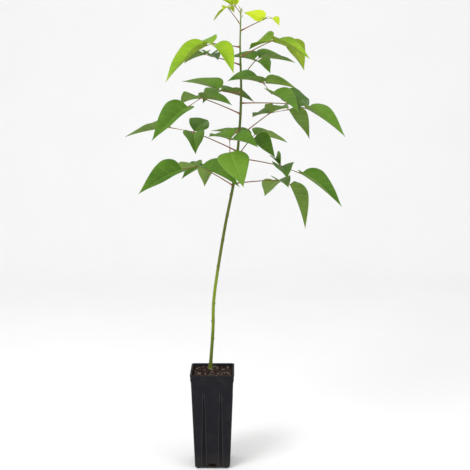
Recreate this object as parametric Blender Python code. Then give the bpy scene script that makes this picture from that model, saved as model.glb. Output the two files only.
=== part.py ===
# Young cockspur coral tree in a deep square nursery pot.
# Units are metres, +Z is up and the origin is the middle of the pot's underside.
# Angles are in degrees. A direction's azimuth runs anticlockwise from +X, seen from above.
# The front of the plant faces -Y.

import math
from collections import namedtuple

import bmesh
import bpy
from mathutils import Vector

# Gaps and walls shared by every piece
SEAT_GAP = 0.0003
WELD = 0.00001

# Pot
POT_HEIGHT = 0.200
RIM_WIDTH = 0.0900
RIM_DEPTH = 0.0025
COLLAR_WIDTH = 0.0884
COLLAR_DEPTH = 0.0135
SHOULDER_WIDTH = 0.0862
STEP_HEIGHT = 0.0008
BASE_WIDTH = 0.0720
FOOT_HEIGHT = 0.0030
WALL = 0.0016
FLOOR_THICKNESS = 0.0020
CORNER_RADIUS = 0.0050
CORNER_STEPS = 2
FLUTE_OFFSET = 0.0170
FLUTE_TOP = 0.1630
FLUTE_FULL = 0.1500
FLUTE_WIDTH_TOP = 0.0060
FLUTE_WIDTH_BASE = 0.0100
FLUTE_DEPTH = 0.0009
DRAIN_WIDTH = 0.0150
DRAIN_TOP = 0.0110
FOOT_RADIUS = 0.0035
FOOT_SPACING = 0.0290
MIDDLE_FOOT_RADIUS = 0.0100
FOOT_SIDES = 12

# Soil, filled to just under the rim and a little raised around the stem
SOIL_EDGE_HEIGHT = 0.1935
SOIL_STEM_HEIGHT = 0.1970
SOIL_PATCH_RADIUS = 0.0080
SOIL_RIPPLE = 0.0008
SOIL_RIPPLE_X = 310.0
SOIL_RIPPLE_Y = 270.0
SOIL_RINGS = (0.80, 0.55, 0.32)
SOIL_EDGE_POINT = 0.55

# Stem: height, then how far its middle line stands right of and behind the pot's middle
STEM_LINE = (
    (0.197, -0.0050, 0.0160),
    (0.282, 0.0010, 0.0120),
    (0.338, 0.0025, 0.0095),
    (0.395, 0.0095, 0.0070),
    (0.495, 0.0260, 0.0040),
    (0.600, 0.0460, 0.0010),
    (0.700, 0.0560, 0.0000),
    (0.770, 0.0585, 0.0000),
    (0.855, 0.0565, 0.0000),
    (0.924, 0.0580, 0.0000),
)
# Stem: height and radius
STEM_RADII = (
    (0.197, 0.0037),
    (0.240, 0.0034),
    (0.400, 0.0031),
    (0.600, 0.0028),
    (0.770, 0.0023),
    (0.855, 0.0017),
    (0.924, 0.0010),
)
ROOT_FLARE = 0.0016
ROOT_FLARE_HEIGHT = 0.0060
ROOT_FLARE_RINGS = (0.0, 0.004, 0.010)
STEM_SIDES = 8
STEM_STEPS = 22

# Leaf stalks and what joins the three blades of a leaf
STALK_BASE_RADIUS = 0.0014
STALK_TIP_RADIUS = 0.0009
STALK_SLIMMEST = 0.45
STALK_FULL_LENGTH = 0.12
STALK_SIDES = 5
STALK_STEPS = 3
STALK_ARCH = 0.012
HUB_RADIUS = 0.0015
HUB_LENGTH = 0.0040
STALKLET_RADIUS = 0.0009
STALKLET_LENGTH = 0.0060
STALKLET_REACH = 0.0080
RACHIS_TAPER_SHARE = 0.3
RACHIS_OVERLAP = 0.002
FULL_BLADE_LENGTH = 0.080
TUBE_SIDES = 4

# Blades
BLADE_THICKNESS = 0.0012
BLADE_STATIONS = (0.0, 0.12, 0.32, 0.64)
BLADE_ACROSS = (-1.0, -0.5, 0.0, 0.5, 1.0)
DROOP_STEPS = 24
BLADE_WIDTH_RATIO = 0.62
BLADE_WIDEST = 0.24
BLADE_BASE_SHARE = 0.58
BLADE_FLANK = 1.35
BLADE_TIP = 1.25
BASE_LOBE = 0.05
VEIN_SWEEP = 0.10
BLADE_CUP = 10.0
FOLD = 40.0
DROOP = 14.0

# Colours: red, green, blue, then roughness
POT_COLOUR = (0.016, 0.016, 0.019, 0.50)
SOIL_COLOUR = (0.050, 0.028, 0.016, 0.95)
STEM_COLOUR = (0.110, 0.180, 0.025, 0.55)
STALK_COLOUR = (0.220, 0.120, 0.060, 0.50)
LEAF_COLOUR = (0.075, 0.210, 0.030, 0.45)
UPPER_LEAF_COLOUR = (0.250, 0.420, 0.025, 0.42)
YOUNG_LEAF_COLOUR = (0.480, 0.620, 0.040, 0.40)

Blade = namedtuple("Blade", "turn pitch roll length fold droop", defaults=(FOLD, DROOP))
Leaf = namedtuple("Leaf", "height azimuth rise stalk rachis tip left right colour")

# First line of a leaf: where its stalk leaves the stem, the stalk's azimuth, rise and length,
# then the turn from that azimuth, pitch and length of the rachis that carries the end blade.
# Blade lines (end, left, right): turn from the stalk's azimuth, pitch from base to tip, roll
# and length, then the fold and the droop where they differ from the usual ones.
LEAVES = (
    Leaf(0.592, 126, 15, 0.094, (-40, -20, 0.010),
         Blade(-27, -38, 0, 0.078),
         Blade(106, -17, 0, 0.080),
         Blade(-81, -26, 0, 0.075),
         LEAF_COLOUR),
    Leaf(0.580, 228, 24, 0.103, (-12, -8, 0.038),
         Blade(-10, -23, -25, 0.105),
         Blade(90, -18, 10, 0.105),
         Blade(-100, -12, 0, 0.080),
         LEAF_COLOUR),
    Leaf(0.584, 28, 2, 0.098, (8, -17, 0.035),
         Blade(-18, -70, 0, 0.101, 60),
         Blade(80, -28, 0, 0.080, 30),
         Blade(-105, -6, 0, 0.075),
         LEAF_COLOUR),
    Leaf(0.635, 321, -6, 0.104, (9, -17, 0.045),
         Blade(0, -32, 0, 0.108),
         Blade(134, 5, -25, 0.078, 76),
         Blade(-46, -12, 0, 0.078),
         LEAF_COLOUR),
    Leaf(0.637, 67, 25, 0.085, (10, 10, 0.027),
         Blade(-33, -12, 10, 0.090),
         Blade(98, 8, 0, 0.085),
         Blade(-122, -27, 20, 0.082),
         LEAF_COLOUR),
    Leaf(0.648, 155, 21, 0.102, (13, 10, 0.050),
         Blade(6, -11, -10, 0.105),
         Blade(121, -29, 0, 0.080),
         Blade(-85, 16, 25, 0.080),
         LEAF_COLOUR),
    Leaf(0.676, 40, 30, 0.093, (-17, 9, 0.042),
         Blade(5, -42, 0, 0.092),
         Blade(74, -6, -25, 0.082),
         Blade(-107, 6, 0, 0.080),
         LEAF_COLOUR),
    Leaf(0.691, 259, -9, 0.095, (12, -38, 0.038),
         Blade(30, -38, 12, 0.095, 12),
         Blade(46, -8, 15, 0.085),
         Blade(-140, 2, -10, 0.080),
         LEAF_COLOUR),
    Leaf(0.722, 212, 19, 0.090, (8, -29, 0.036),
         Blade(10, -36, -18, 0.107, 38, 12),
         Blade(103, -10, 0, 0.080),
         Blade(-92, -7, 0, 0.085),
         LEAF_COLOUR),
    Leaf(0.743, 335, -1, 0.098, (-3, -14, 0.037),
         Blade(-14, -31, 5, 0.102),
         Blade(86, 6, 48, 0.090),
         Blade(-56, -10, 0, 0.080),
         LEAF_COLOUR),
    Leaf(0.761, 127, 7, 0.062, (-15, 8, 0.018),
         Blade(16, 11, -10, 0.100),
         Blade(117, -18, 0, 0.080),
         Blade(-88, -14, 10, 0.085),
         LEAF_COLOUR),
    Leaf(0.790, 63, 31, 0.074, (5, 18, 0.020),
         Blade(-34, -5, 15, 0.090),
         Blade(70, 7, -15, 0.078),
         Blade(-130, -23, 0, 0.070),
         LEAF_COLOUR),
    Leaf(0.794, 298, -9, 0.083, (4, -36, 0.035),
         Blade(4, -22, 0, 0.095),
         Blade(45, -10, 0, 0.060, 70),
         Blade(-75, 0, -18, 0.085, 40, 25),
         LEAF_COLOUR),
    Leaf(0.817, 149, 16, 0.070, (-16, 12, 0.016),
         Blade(-26, -9, 0, 0.085),
         Blade(135, -10, 0, 0.070),
         Blade(-60, 5, 0, 0.070),
         LEAF_COLOUR),
    Leaf(0.832, 14, 27, 0.068, (7, -2, 0.034),
         Blade(42, -38, 0, 0.086),
         Blade(106, -7, -30, 0.084),
         Blade(-55, -23, 0, 0.095),
         UPPER_LEAF_COLOUR),
    Leaf(0.851, 211, 4, 0.057, (12, -15, 0.018),
         Blade(-9, -41, -12, 0.109, 42, 25),
         Blade(95, -41, 5, 0.085, 42, 30),
         Blade(-95, 3, -15, 0.075),
         UPPER_LEAF_COLOUR),
    Leaf(0.882, 355, 25, 0.050, (0, 3, 0.012),
         Blade(-62, -28, 0, 0.038),
         Blade(168, 16, -60, 0.044, 25),
         Blade(-100, -10, 0, 0.030),
         YOUNG_LEAF_COLOUR),
    Leaf(0.894, 162, 52, 0.039, (-20, -15, 0.006),
         Blade(-30, -32, -35, 0.042, 28),
         Blade(95, -15, 0, 0.032),
         Blade(-95, -10, 0, 0.032),
         YOUNG_LEAF_COLOUR),
    Leaf(0.915, 170, 52, 0.014, (0, 15, 0.006),
         Blade(-25, 25, -12, 0.052, 55),
         Blade(85, 35, 0, 0.025),
         Blade(-95, 35, 0, 0.025),
         YOUNG_LEAF_COLOUR),
)


def clear_scene():
    for item in list(bpy.data.objects):
        bpy.data.objects.remove(item, do_unlink=True)


def material(name, colour):
    """A Principled material from red, green, blue and roughness."""
    made = bpy.data.materials.new(name)
    made.use_nodes = True
    shader = made.node_tree.nodes["Principled BSDF"]
    shader.inputs["Base Color"].default_value = (*colour[:3], 1.0)
    shader.inputs["Roughness"].default_value = colour[3]
    shader.inputs["Metallic"].default_value = 0.0
    made.diffuse_color = (*colour[:3], 1.0)
    return made


def new_object(name, points, faces, colour):
    """A named object from points and faces, with its normals pointing out."""
    mesh = bpy.data.meshes.new(name)
    mesh.from_pydata([tuple(p) for p in points], [], faces)
    shell = bmesh.new()
    shell.from_mesh(mesh)
    bmesh.ops.remove_doubles(shell, verts=shell.verts, dist=WELD)
    bmesh.ops.recalc_face_normals(shell, faces=shell.faces)
    shell.to_mesh(mesh)
    shell.free()
    made = bpy.data.objects.new(name, mesh)
    bpy.context.scene.collection.objects.link(made)
    mesh.materials.append(material(name, colour))
    return made


def combine(target, tools, operation):
    """Joins the tools to the target, or cuts them out of it, and removes them."""
    for tool in tools:
        step = target.modifiers.new(operation, "BOOLEAN")
        step.operation = operation
        step.solver = "EXACT"
        step.object = tool
    graph = bpy.context.evaluated_depsgraph_get()
    result = bpy.data.meshes.new_from_object(target.evaluated_get(graph))
    target.modifiers.clear()
    target.data = result
    for tool in tools:
        bpy.data.objects.remove(tool, do_unlink=True)
    shell = bmesh.new()
    shell.from_mesh(target.data)
    bmesh.ops.remove_doubles(shell, verts=shell.verts, dist=WELD)
    bmesh.ops.dissolve_degenerate(shell, edges=shell.edges, dist=WELD)
    shell.to_mesh(target.data)
    shell.free()
    return target


def heading(azimuth, pitch):
    """The unit vector at an azimuth and a pitch."""
    around = math.radians(azimuth)
    up = math.radians(pitch)
    return Vector((math.cos(around) * math.cos(up), math.sin(around) * math.cos(up), math.sin(up)))


def smooth_line(table, height):
    """The values beside the heights in the table, along a smooth curve through them."""
    heights = [row[0] for row in table]
    height = min(max(height, heights[0]), heights[-1])
    last = len(table) - 2
    i = max(k for k in range(last + 1) if heights[k] <= height)
    span = heights[i + 1] - heights[i]
    t = (height - heights[i]) / span
    values = []
    for column in range(1, len(table[0])):
        start, end = table[i][column], table[i + 1][column]
        before, after = max(i - 1, 0), min(i + 2, last + 1)
        slope_in = (end - table[before][column]) / (heights[i + 1] - heights[before])
        slope_out = (table[after][column] - start) / (heights[after] - heights[i])
        values.append(
            (2 * t**3 - 3 * t**2 + 1) * start + (t**3 - 2 * t**2 + t) * span * slope_in
            + (3 * t**2 - 2 * t**3) * end + (t**3 - t**2) * span * slope_out
        )
    return values


def tube(name, centres, radii, sides, colour, flat_start=False):
    """A closed tube along the centres, round in section, with flat ends."""
    centres = [Vector(c) for c in centres]
    points, faces = [], []
    for i, centre in enumerate(centres):
        along = (centres[min(i + 1, len(centres) - 1)] - centres[max(i - 1, 0)]).normalized()
        if flat_start and i == 0:
            along = Vector((0.0, 0.0, 1.0))
        side = along.orthogonal().normalized() if i == 0 else side
        side = (side - along * side.dot(along)).normalized()
        other = along.cross(side)
        for k in range(sides):
            turn = 2.0 * math.pi * k / sides
            points.append(centre + radii[i] * (math.cos(turn) * side + math.sin(turn) * other))
    for i in range(len(centres) - 1):
        for k in range(sides):
            a, b = i * sides + k, i * sides + (k + 1) % sides
            faces.append((a, b, b + sides, a + sides))
    faces.append(tuple(range(sides)))
    faces.append(tuple(range(len(points) - sides, len(points))))
    return new_object(name, points, faces, colour)


def flute_width(height):
    share = min(max(height / FLUTE_FULL, 0.0), 1.0)
    return FLUTE_WIDTH_BASE + (FLUTE_WIDTH_TOP - FLUTE_WIDTH_BASE) * share


def turned(x, y, turn):
    """A point turned about the origin, in radians."""
    return x * math.cos(turn) - y * math.sin(turn), x * math.sin(turn) + y * math.cos(turn)


def pot_ring(half_width, radius, flute=0.0, flute_span=0.001):
    """One level of the pot: a square with round corners and two flutes in each side."""
    half_side = []
    for middle in (-FLUTE_OFFSET, FLUTE_OFFSET):
        for along, share in ((-0.5, 0.0), (-0.25, 1.0), (0.25, 1.0), (0.5, 0.0)):
            half_side.append((middle + along * flute_span, -half_width + share * flute))
    for step in range(CORNER_STEPS + 1):
        turn = math.radians(-90.0 + 90.0 * step / CORNER_STEPS)
        half_side.append((
            half_width - radius + radius * math.cos(turn),
            -half_width + radius + radius * math.sin(turn),
        ))
    ring = []
    for quarter in range(4):
        turn = math.radians(90.0 * quarter)
        for x, y in half_side:
            ring.append(turned(x, y, turn))
    return ring


def body_half_width(height):
    """Half the outer width of the tapered body at a height."""
    share = (height - FOOT_HEIGHT) / (POT_HEIGHT - COLLAR_DEPTH - FOOT_HEIGHT)
    return 0.5 * (BASE_WIDTH + (SHOULDER_WIDTH - BASE_WIDTH) * min(share, 1.0))


def inner_half_width(height):
    """Half the width of the pot's inside at a height: a straight taper from floor to rim."""
    floor = FOOT_HEIGHT + FLOOR_THICKNESS
    at_floor, at_rim = body_half_width(floor) - WALL, 0.5 * SHOULDER_WIDTH - WALL
    return at_floor + (at_rim - at_floor) * (height - floor) / (POT_HEIGHT - floor)


def stack(rings):
    """Points and faces of rings laid one on the next, closed at both ends."""
    points, faces = [], []
    count = len(rings[0][1])
    for height, ring in rings:
        points.extend((x, y, height) for x, y in ring)
    for i in range(len(rings) - 1):
        for k in range(count):
            a, b = i * count + k, i * count + (k + 1) % count
            faces.append((a, b, b + count, a + count))
    faces.append(tuple(range(count)))
    faces.append(tuple(range(len(points) - count, len(points))))
    return points, faces


def box(name, low, high):
    """A plain box between two corners, to cut with."""
    shell = bmesh.new()
    bmesh.ops.create_cube(shell, size=1.0)
    for vert in shell.verts:
        for axis in range(3):
            vert.co[axis] = high[axis] if vert.co[axis] > 0 else low[axis]
    mesh = bpy.data.meshes.new(name)
    shell.to_mesh(mesh)
    shell.free()
    made = bpy.data.objects.new(name, mesh)
    bpy.context.scene.collection.objects.link(made)
    return made


def build_pot():
    shoulder = POT_HEIGHT - COLLAR_DEPTH
    lip = POT_HEIGHT - RIM_DEPTH
    outside = []
    for height in (FOOT_HEIGHT, FLUTE_FULL, FLUTE_TOP, shoulder):
        depth = FLUTE_DEPTH if height <= FLUTE_FULL else 0.0
        span = flute_width(height) if height <= FLUTE_FULL else FLUTE_DEPTH
        outside.append((height, pot_ring(body_half_width(height), CORNER_RADIUS, depth, span)))
    for height, width in (
        (shoulder + STEP_HEIGHT, COLLAR_WIDTH),
        (lip, COLLAR_WIDTH),
        (lip + STEP_HEIGHT, RIM_WIDTH),
        (POT_HEIGHT, RIM_WIDTH),
    ):
        outside.append((height, pot_ring(0.5 * width, CORNER_RADIUS)))
    inside = [
        (height, pot_ring(inner_half_width(height), CORNER_RADIUS - WALL))
        for height in (POT_HEIGHT, FOOT_HEIGHT + FLOOR_THICKNESS)
    ]
    points, faces = stack(outside + inside)
    pot = new_object("pot", points, faces, POT_COLOUR)
    half = 0.5 * BASE_WIDTH
    slots = []
    for x, y in ((0, -1), (1, 0), (0, 1), (-1, 0)):
        across = 0.5 * DRAIN_WIDTH
        low = [-across if x == 0 else x * half - 2 * WALL, -across if y == 0 else y * half - 2 * WALL]
        high = [across if x == 0 else x * half + 2 * WALL, across if y == 0 else y * half + 2 * WALL]
        slots.append(box("slot", (*low, FOOT_HEIGHT + FLOOR_THICKNESS), (*high, DRAIN_TOP)))
    combine(pot, slots, "DIFFERENCE")
    feet = []
    apart = (-FOOT_SPACING, FOOT_SPACING)
    places = [(x, y, FOOT_RADIUS) for x in apart for y in apart]
    for x, y, radius in [*places, (0.0, 0.0, MIDDLE_FOOT_RADIUS)]:
        top = FOOT_HEIGHT + 0.5 * FLOOR_THICKNESS
        feet.append(tube("foot", [(x, y, 0.0), (x, y, top)], [radius, radius], FOOT_SIDES, POT_COLOUR))
    combine(pot, feet, "UNION")


def build_soil():
    foot_x, foot_y = stem_centre(SOIL_STEM_HEIGHT)[:2]

    def outline(height):
        half, radius = inner_half_width(height) - SEAT_GAP, CORNER_RADIUS - WALL
        ring = []
        for quarter in range(4):
            turn = math.radians(90.0 * quarter)
            corner = radius * (1.0 - math.sqrt(0.5))
            edge_point = SOIL_EDGE_POINT * half
            for x, y in ((-edge_point, -half), (0.0, -half), (edge_point, -half),
                         (half - radius, -half), (half - corner, -half + corner),
                         (half, -half + radius)):
                ring.append(turned(x, y, turn))
        return ring

    bottom = FOOT_HEIGHT + FLOOR_THICKNESS + SEAT_GAP
    edge = outline(SOIL_EDGE_HEIGHT)
    count = len(edge)
    points = [(x, y, bottom) for x, y in outline(bottom)]
    points += [(x, y, SOIL_EDGE_HEIGHT) for x, y in edge]
    for share in SOIL_RINGS:
        for k, (x, y) in enumerate(edge):
            px, py = foot_x + share * (x - foot_x), foot_y + share * (y - foot_y)
            height = SOIL_STEM_HEIGHT + (SOIL_EDGE_HEIGHT - SOIL_STEM_HEIGHT) * share**2
            ripple = math.sin(SOIL_RIPPLE_X * px + 5.0 * share) * math.cos(SOIL_RIPPLE_Y * py + k % 3)
            height += SOIL_RIPPLE * ripple
            points.append((px, py, height))
    for x, y in edge:
        out = Vector((x - foot_x, y - foot_y)).normalized() * SOIL_PATCH_RADIUS
        points.append((foot_x + out.x, foot_y + out.y, SOIL_STEM_HEIGHT))
    faces = [tuple(range(count))]
    for i in range(len(points) // count - 1):
        for k in range(count):
            a, b = i * count + k, i * count + (k + 1) % count
            faces.append((a, b, b + count, a + count))
    faces.append(tuple(range(len(points) - count, len(points))))
    new_object("soil", points, faces, SOIL_COLOUR)


def stem_centre(height):
    x, y = smooth_line(STEM_LINE, height)
    return Vector((x, y, height))


def stem_radius(height):
    flare = ROOT_FLARE * math.exp(-(height - SOIL_STEM_HEIGHT) / ROOT_FLARE_HEIGHT)
    return smooth_line(STEM_RADII, height)[0] + flare


def stem_tube(name, extra):
    """The stem's tube, with its radius grown by extra."""
    start, end = SOIL_STEM_HEIGHT + SEAT_GAP, STEM_LINE[-1][0]
    heights = [start + rise for rise in ROOT_FLARE_RINGS]
    low = heights[-1]
    heights += [low + (end - low) * k / STEM_STEPS for k in range(1, STEM_STEPS + 1)]
    centres = [stem_centre(h) for h in heights]
    radii = [stem_radius(h) + extra for h in heights]
    return tube(name, centres, radii, STEM_SIDES, STEM_COLOUR, flat_start=True)


def stalk_end(leaf):
    """Where the stalk ends, and the direction it has there."""
    start = stem_centre(leaf.height)
    end = start + leaf.stalk * heading(leaf.azimuth, leaf.rise)
    way = (end - start).normalized() - Vector((0.0, 0.0, 4.0 * STALK_ARCH))
    return end, way.normalized()


def stalk_line(leaf, steps):
    """Middle line of a stalk, a little arched, from inside the stem to its end."""
    start, (end, _) = stem_centre(leaf.height), stalk_end(leaf)
    line = []
    for k in range(steps + 1):
        share = k / steps
        rise = 4.0 * STALK_ARCH * leaf.stalk * share * (1.0 - share)
        line.append(start.lerp(end, share) + Vector((0.0, 0.0, rise)))
    return line


def build_stalk(name, leaf):
    line = stalk_line(leaf, STALK_STEPS)
    slim = min(1.0, STALK_SLIMMEST + leaf.stalk / STALK_FULL_LENGTH)
    radii = [
        slim * (STALK_BASE_RADIUS + (STALK_TIP_RADIUS - STALK_BASE_RADIUS) * k / STALK_STEPS)
        for k in range(STALK_STEPS + 1)
    ]
    stalk = tube(name, line, radii, STALK_SIDES, STALK_COLOUR)
    combine(stalk, [stem_tube("seat", SEAT_GAP)], "DIFFERENCE")


def half_width(share):
    """Half the blade's width as a share of its widest, from its base to its tip."""
    if share < BLADE_WIDEST:
        back = 1.0 - share / BLADE_WIDEST
        return BLADE_BASE_SHARE + (1.0 - BLADE_BASE_SHARE) * math.sqrt(1.0 - back**2)
    on = (share - BLADE_WIDEST) / (1.0 - BLADE_WIDEST)
    return max(0.0, 1.0 - on**BLADE_FLANK) ** BLADE_TIP


def blade_frames(blade, azimuth, start, shares):
    """Point, direction, side and up of the midrib at each share of the blade's length."""
    frames = []
    for share in shares:
        point = start.copy()
        for k in range(DROOP_STEPS):
            pitch = blade.pitch + blade.droop * (0.5 - share * (k + 0.5) / DROOP_STEPS)
            point += heading(azimuth, pitch) * (blade.length * share / DROOP_STEPS)
        pitch = blade.pitch + blade.droop * (0.5 - share)
        along = heading(azimuth, pitch)
        up = heading(azimuth, pitch + 90.0)
        side = along.cross(up)
        roll = math.radians(blade.roll)
        frames.append((point, along, math.cos(roll) * side - math.sin(roll) * up,
                       math.cos(roll) * up + math.sin(roll) * side))
    return frames


def blade_object(blade, azimuth, start, colour):
    """A blade as a thin closed pad, folded up along its midrib and drooping to its tip."""
    widest = 0.5 * BLADE_WIDTH_RATIO * blade.length
    points, normals = [], []
    frames = blade_frames(blade, azimuth, start, [*BLADE_STATIONS, 1.0])
    for share, (point, along, side, up) in zip(BLADE_STATIONS, frames):
        for across in BLADE_ACROSS:
            lift = math.radians(blade.fold - BLADE_CUP * abs(across))
            reach = abs(across) * widest * half_width(share)
            sweep = abs(across) * blade.length * (VEIN_SWEEP * math.sqrt(share) - BASE_LOBE)
            hand = math.copysign(1.0, across)
            out = math.cos(lift) * hand * side + math.sin(lift) * up
            points.append(point + reach * out + sweep * along)
            tilt = math.radians(blade.fold) if across else 0.0
            normals.append(math.cos(tilt) * up - math.sin(tilt) * hand * side)
    points.append(frames[-1][0])
    normals.append(frames[-1][3])
    thick = 0.5 * BLADE_THICKNESS
    top = [p + thick * n for p, n in zip(points, normals)]
    under = [p - thick * n for p, n in zip(points, normals)]
    count, wide = len(points), len(BLADE_ACROSS)
    rows = len(BLADE_STATIONS)
    faces = []
    for i in range(rows - 1):
        for k in range(wide - 1):
            a = i * wide + k
            faces.append((a, a + 1, a + 1 + wide, a + wide))
    for k in range(wide - 1):
        a = (rows - 1) * wide + k
        faces.append((a, a + 1, count - 1))
    faces += [tuple(count + v for v in reversed(face)) for face in faces]
    rim = list(range(wide)) + [i * wide + wide - 1 for i in range(1, rows)] + [count - 1]
    rim += [i * wide for i in range(rows - 1, 0, -1)]
    for a, b in zip(rim, rim[1:] + rim[:1]):
        faces.append((a, b, count + b, count + a))
    return new_object("blade", top + under, faces, colour)


def build_leaf(name, leaf):
    """The three blades of a leaf and the short stalks that join them, as one solid."""
    end, way = stalk_end(leaf)
    start = end + SEAT_GAP * way
    hub = start + HUB_LENGTH * way
    turn, pitch, length = leaf.rachis
    rachis = heading(leaf.azimuth + turn, pitch)
    tip_start = hub + length * rachis
    size = min(1.0, leaf.tip.length / FULL_BLADE_LENGTH)
    radii = [size * HUB_RADIUS, size * HUB_RADIUS, size * STALKLET_RADIUS, size * STALKLET_RADIUS]
    taper_end = hub + RACHIS_TAPER_SHARE * length * rachis
    core = tube(name, [start, hub, taper_end, tip_start + RACHIS_OVERLAP * rachis],
                radii, TUBE_SIDES, leaf.colour)
    pieces = []
    for blade, base in ((leaf.tip, tip_start), (leaf.left, None), (leaf.right, None)):
        azimuth = leaf.azimuth + blade.turn
        way_out = heading(azimuth, blade.pitch)
        if base is None:
            base = hub + size * STALKLET_LENGTH * way_out
            reach = hub + size * (STALKLET_LENGTH + STALKLET_REACH) * way_out
            thin = size * STALKLET_RADIUS
            pieces.append(tube("stalklet", [hub, reach], [thin, thin], TUBE_SIDES, leaf.colour))
        pieces.append(blade_object(blade, azimuth, base, leaf.colour))
    combine(core, pieces, "UNION")


def main():
    clear_scene()
    build_pot()
    build_soil()
    stem_tube("stem", 0.0)
    for number, leaf in enumerate(LEAVES, start=1):
        build_stalk(f"stalk_{number:02d}", leaf)
        build_leaf(f"leaf_{number:02d}", leaf)


main()
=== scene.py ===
# %% [markdown]
# # A young coral tree in a square nursery pot
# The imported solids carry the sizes, the weight and the collision. This script gives them
# their looks: fine leaves with veins, a stem with scars, a moulded pot and loose soil.
# Every piece is worked out from a few named sizes, in metres, with +Z up and the origin
# at the middle of the pot's underside.

import math
import random
from collections import namedtuple

import bmesh
import bpy
import numpy as np
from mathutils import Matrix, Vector, noise


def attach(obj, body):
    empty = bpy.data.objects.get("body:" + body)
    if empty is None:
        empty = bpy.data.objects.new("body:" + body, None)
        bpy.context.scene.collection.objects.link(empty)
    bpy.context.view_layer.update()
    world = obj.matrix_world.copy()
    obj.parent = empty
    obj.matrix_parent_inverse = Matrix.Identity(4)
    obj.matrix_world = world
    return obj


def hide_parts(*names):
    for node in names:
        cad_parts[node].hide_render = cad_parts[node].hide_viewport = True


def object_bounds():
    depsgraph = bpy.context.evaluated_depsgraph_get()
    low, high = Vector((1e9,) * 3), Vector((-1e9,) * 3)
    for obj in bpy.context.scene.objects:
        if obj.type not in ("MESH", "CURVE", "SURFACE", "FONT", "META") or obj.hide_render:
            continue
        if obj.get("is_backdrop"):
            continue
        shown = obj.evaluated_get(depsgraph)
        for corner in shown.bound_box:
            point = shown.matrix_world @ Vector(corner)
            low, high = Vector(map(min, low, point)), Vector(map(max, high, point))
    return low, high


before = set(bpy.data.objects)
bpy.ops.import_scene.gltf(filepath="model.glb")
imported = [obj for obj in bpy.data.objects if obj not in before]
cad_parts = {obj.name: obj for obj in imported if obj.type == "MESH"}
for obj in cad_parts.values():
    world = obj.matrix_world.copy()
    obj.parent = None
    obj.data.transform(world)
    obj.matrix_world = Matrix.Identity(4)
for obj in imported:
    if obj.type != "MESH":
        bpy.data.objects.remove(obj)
loaded_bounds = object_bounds()
print("packed nodes:", len(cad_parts))

# %% [markdown]
# ## The sizes that drive everything
# A seedling has no boughs yet: one thin stem, and long stalks that each carry three
# blades. So the whole crown fits in one table. Each line of it says where a stalk leaves
# the stem and how its three blades are turned. A table like this is quicker to steer
# against a picture than hundreds of hand-placed meshes.

# %% Sizes of the pot and the soil
POT_HEIGHT, RIM_WIDTH, RIM_DEPTH = 0.200, 0.0900, 0.0025
COLLAR_WIDTH, COLLAR_DEPTH, SHOULDER_WIDTH = 0.0884, 0.0135, 0.0862
BASE_WIDTH, FOOT_HEIGHT = 0.0720, 0.0030
WALL, FLOOR_THICKNESS, CORNER_RADIUS = 0.0016, 0.0020, 0.0050
FLUTE_OFFSET, FLUTE_TOP, FLUTE_FULL = 0.0170, 0.1630, 0.1500
FLUTE_WIDTH_TOP, FLUTE_WIDTH_BASE, FLUTE_DEPTH = 0.0030, 0.0100, 0.0009
RIDGE_HEIGHT, RIDGE_WIDTH = 0.0005, 0.0011
FLUTE_RINGS, FLUTE_END_RINGS, CORNER_STEPS = 24, 6, 8
BEVEL, FOOT_BEVEL, FOOT_BEVEL_HEIGHT, FOOT_ROUND = 0.0003, 0.0006, 0.0008, 0.0004
NARROWEST_FLUTE, SHARP_ANGLE = 0.0006, 32
DRAIN_WIDTH, DRAIN_TOP = 0.0150, 0.0110
FOOT_RADIUS, FOOT_SPACING, MIDDLE_FOOT_RADIUS = 0.0035, 0.0290, 0.0100
SOIL_EDGE_HEIGHT, SOIL_STEM_HEIGHT = 0.1935, 0.1970
print("soil stops", round(1000 * (POT_HEIGHT - SOIL_EDGE_HEIGHT), 1), "mm under the rim")

# %% Sizes of the stem, the stalks and the blades
# Stem: height, then how far its middle line stands right of and behind the pot's middle
STEM_LINE = (
    (0.197, -0.0050, 0.0160),
    (0.282, 0.0010, 0.0120),
    (0.338, 0.0025, 0.0095),
    (0.395, 0.0095, 0.0070),
    (0.495, 0.0260, 0.0040),
    (0.600, 0.0460, 0.0010),
    (0.700, 0.0560, 0.0000),
    (0.770, 0.0585, 0.0000),
    (0.855, 0.0565, 0.0000),
    (0.924, 0.0580, 0.0000),
)
# Stem: height and radius
STEM_RADII = (
    (0.197, 0.0037),
    (0.240, 0.0034),
    (0.400, 0.0031),
    (0.600, 0.0028),
    (0.770, 0.0023),
    (0.855, 0.0017),
    (0.924, 0.0010),
)
ROOT_FLARE, ROOT_FLARE_HEIGHT = 0.0016, 0.0060
SCARS = ((0.262, 20), (0.300, 200), (0.338, 330), (0.415, 130), (0.470, 300), (0.520, 90), (0.562, 200))
STALK_BASE_RADIUS, STALK_TIP_RADIUS, STALK_ARCH = 0.0014, 0.0009, 0.012
STALK_SLIMMEST, STALK_FULL_LENGTH = 0.45, 0.12
HUB_RADIUS, HUB_LENGTH = 0.0015, 0.0040
STALKLET_RADIUS, STALKLET_LENGTH = 0.0009, 0.0060
FULL_BLADE_LENGTH = 0.080
SEAT_GAP = 0.0003
BLADE_WIDTH_RATIO, BLADE_WIDEST = 0.62, 0.24
BLADE_FLANK, BLADE_TIP = 1.35, 1.25
BASE_LOBE, VEIN_SWEEP, BLADE_CUP = 0.05, 0.10, 10.0
VEIN_PAIRS, VEIN_LEAN, VEIN_PUFF = 7.0, 0.12, 0.00035
EDGE_WAVE, EDGE_WAVES = 0.020, 9.0
FOLD, DROOP = 40.0, 14.0
BLADE_ROWS, BLADE_COLUMNS = 36, 16
BLADE_THICKNESS, MIDRIB_DEPTH, MIDRIB_WIDTH = 0.00034, 0.00060, 0.0009
print("stem:", round(STEM_LINE[-1][0] - STEM_LINE[0][0], 3), "m of it above the soil")

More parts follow.
